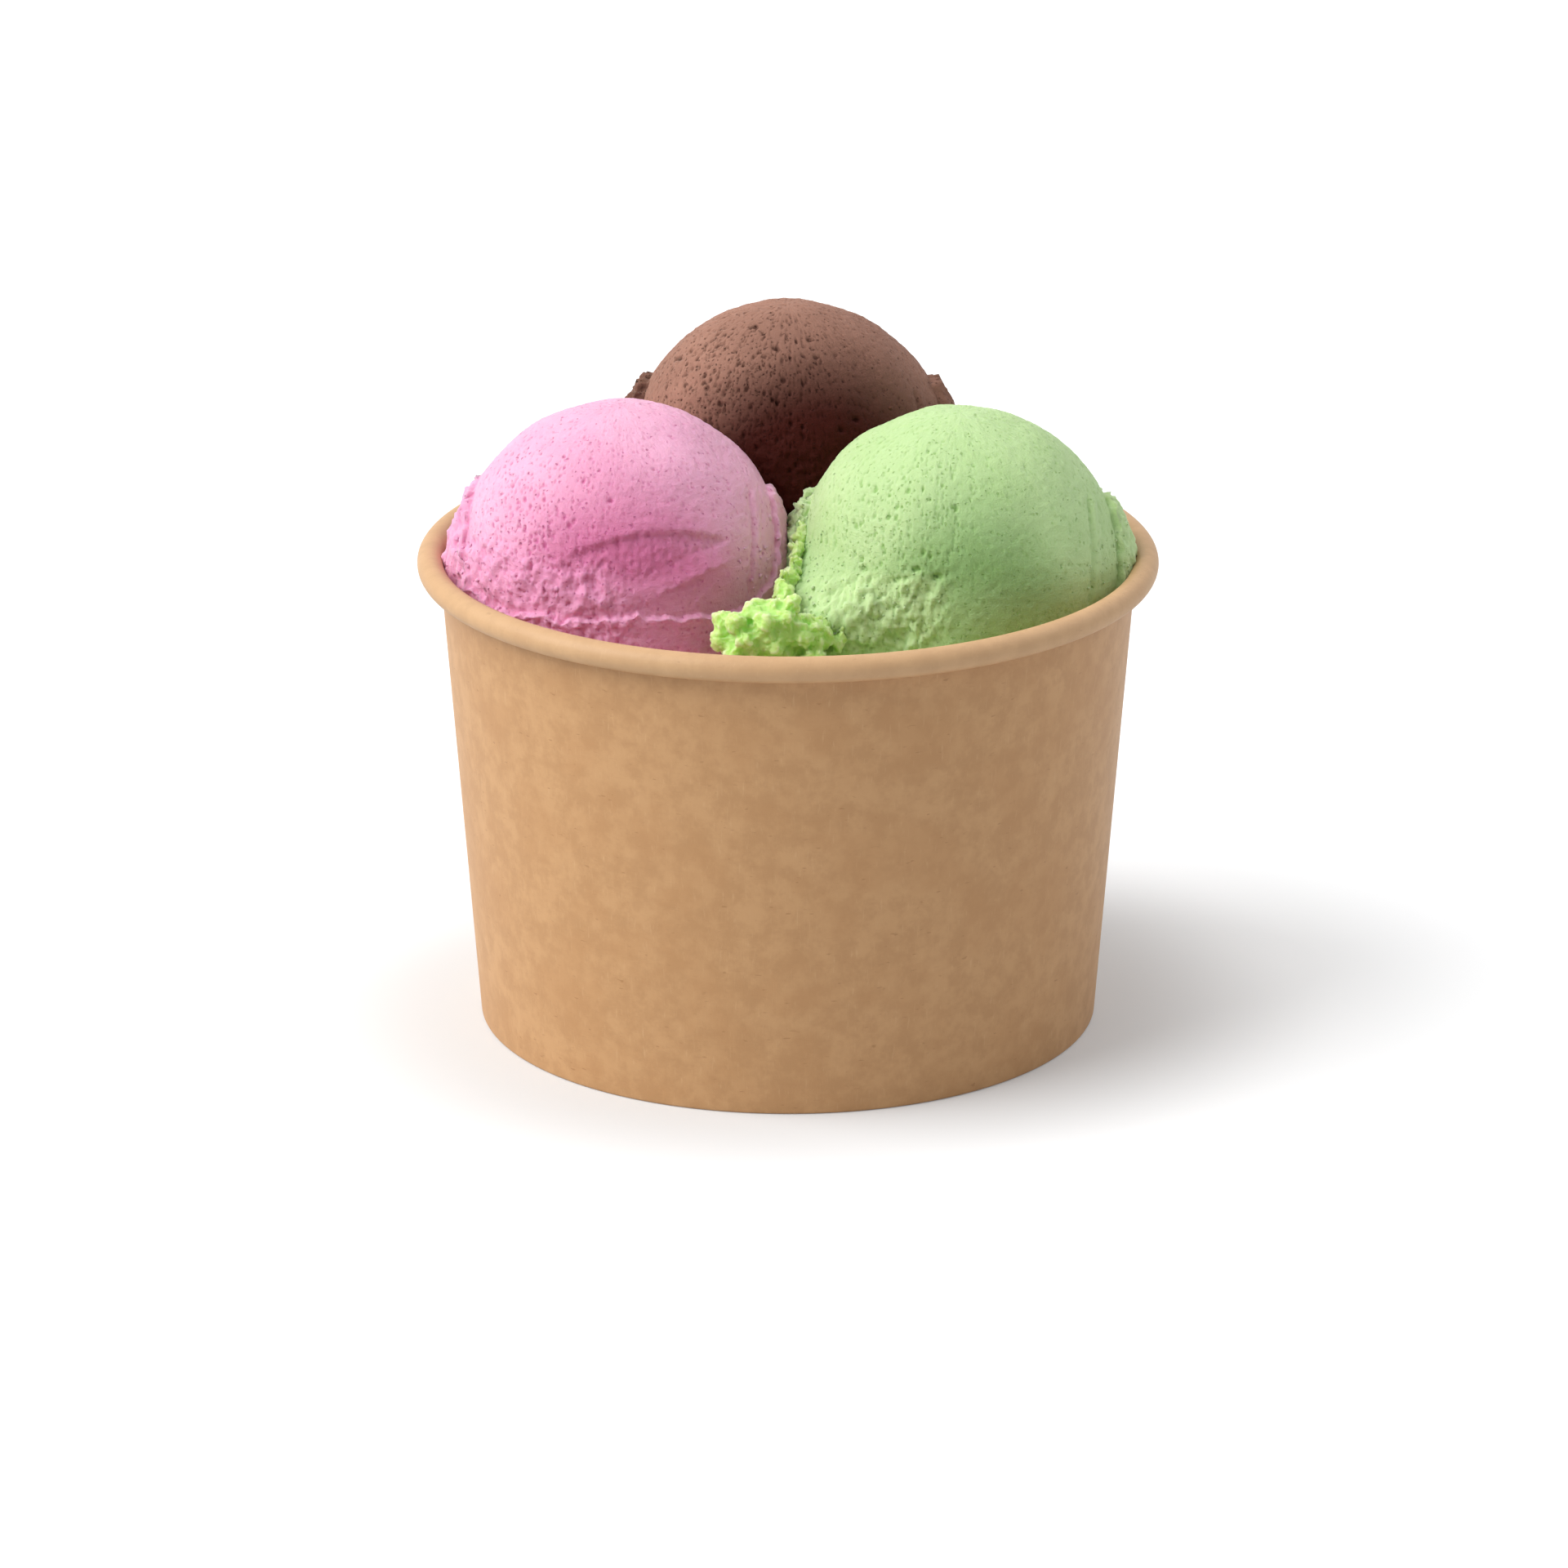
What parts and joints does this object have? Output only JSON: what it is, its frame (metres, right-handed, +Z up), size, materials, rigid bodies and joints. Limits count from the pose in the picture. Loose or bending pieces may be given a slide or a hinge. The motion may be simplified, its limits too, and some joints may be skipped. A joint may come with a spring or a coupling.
{
  "type": "paper ice cream cup with scoops",
  "caption": "Round kraft paper cup with a rolled rim, packed with ice cream and topped with domed scoops in pink, green and brown.",
  "frame": {"origin": "on the table, on the axis of the cup", "axes": "+Z up along the cup's axis; -Y is the front, where the strawberry scoop is on the left and the pistachio scoop on the right; +Y is the back, with the chocolate scoop"},
  "size_m": [0.095, 0.095, 0.0885],
  "materials": {
    "kraft_board": "uncoated brown kraft board, matt",
    "strawberry_ice_cream": "scooped strawberry ice cream, soft sheen, torn skirt",
    "pistachio_ice_cream": "scooped pistachio ice cream, soft sheen, crumbled foot",
    "chocolate_ice_cream": "scooped chocolate ice cream, pitted, soft sheen"
  },
  "bodies": {
    "root": {"cup_wall": "kraft_board", "cup_base": "kraft_board", "scoop_strawberry": "strawberry_ice_cream", "scoop_pistachio": "pistachio_ice_cream", "scoop_chocolate": "chocolate_ice_cream"}
  },
  "joints": []
}
